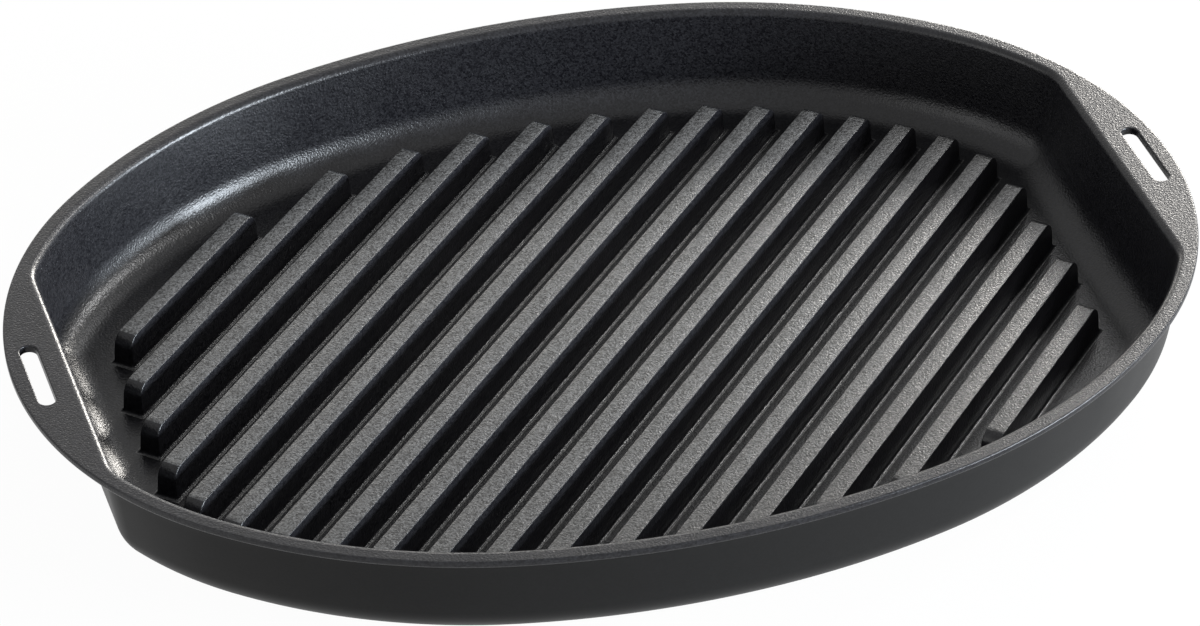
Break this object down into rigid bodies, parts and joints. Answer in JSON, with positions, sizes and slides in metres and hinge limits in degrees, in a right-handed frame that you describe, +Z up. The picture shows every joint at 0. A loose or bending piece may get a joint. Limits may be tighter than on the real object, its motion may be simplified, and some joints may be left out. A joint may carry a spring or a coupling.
{
  "type": "griddle plate",
  "caption": "Oval cast cooking plate with a flat rim, two slotted end handles and diagonal raised ribs on a deep drafted floor.",
  "frame": {"origin": "middle of the plane that the heater ridges stand on", "axes": "+X along the long axis through both handles, +Y to the back, +Z up out of the dish"},
  "size_m": [0.39, 0.29, 0.0394],
  "materials": {
    "coating": "satin dark non-stick coating with a fine sparkle",
    "underside": "satin dark coating"
  },
  "bodies": {
    "root": {"floor": "coating", "floor_bend": "coating", "right_end_wall": "coating", "left_end_wall": "coating", "back_wall": "coating", "front_wall": "coating", "right_handle": "coating", "left_handle": "coating", "back_rim": "coating", "front_rim": "coating", "rib_01": "coating", "rib_02": "coating", "rib_03": "coating", "rib_04": "coating", "rib_05": "coating", "rib_06": "coating", "rib_07": "coating", "rib_08": "coating", "rib_09": "coating", "rib_10": "coating", "rib_11": "coating", "rib_12": "coating", "rib_13": "coating", "rib_14": "coating", "rib_15": "coating", "rib_16": "coating", "rib_17": "coating", "rib_18": "coating", "outer_heater_ridge": "underside", "inner_heater_ridge": "underside", "thermostat_pad": "underside"}
  },
  "joints": []
}
